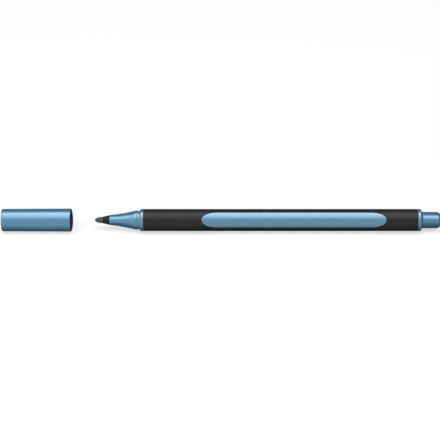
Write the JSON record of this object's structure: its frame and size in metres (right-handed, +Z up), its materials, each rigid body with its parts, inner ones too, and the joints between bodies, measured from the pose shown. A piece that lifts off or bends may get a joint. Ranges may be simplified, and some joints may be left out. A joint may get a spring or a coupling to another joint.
{
  "type": "fibre-tip marker",
  "caption": "Fibre-tip metallic marker with a rounded-triangle barrel in a soft sleeve, a bullet nib and a pull-off cap that slides on to seal the nib.",
  "frame": {"origin": "on the surface that the marker lies on, under the middle of the layout of pen and pulled-off cap", "axes": "+X along the pen from the cap's closed end to the rear plug, +Z up out of the surface, +Y across the pen"},
  "size_m": [0.1898, 0.01, 0.01],
  "materials": {
    "metallic_blue": "satin metallic",
    "soft_black": "soft-touch satin",
    "black_plastic": "satin",
    "nib_fibre": "fibrous, inked",
    "reservoir_fibre": "fibrous, inked",
    "film": "thin clear film",
    "seal_plastic": "satin"
  },
  "bodies": {
    "pen": {"nib": "nib_fibre", "nib_holder": "black_plastic", "front_section": "metallic_blue", "barrel_core": "metallic_blue", "grip_sleeve": "soft_black", "ink_reservoir": "reservoir_fibre", "reservoir_film": "film", "end_plug": "metallic_blue"},
    "cap": {"cap_shell": "metallic_blue", "cap_inner_seal": "seal_plastic"}
  },
  "joints": [
    {"name": "cap_slide", "type": "slide", "parent": "pen", "child": "cap", "axis": [1, 0, 0], "range_m": [0, 0.02965]}
  ]
}
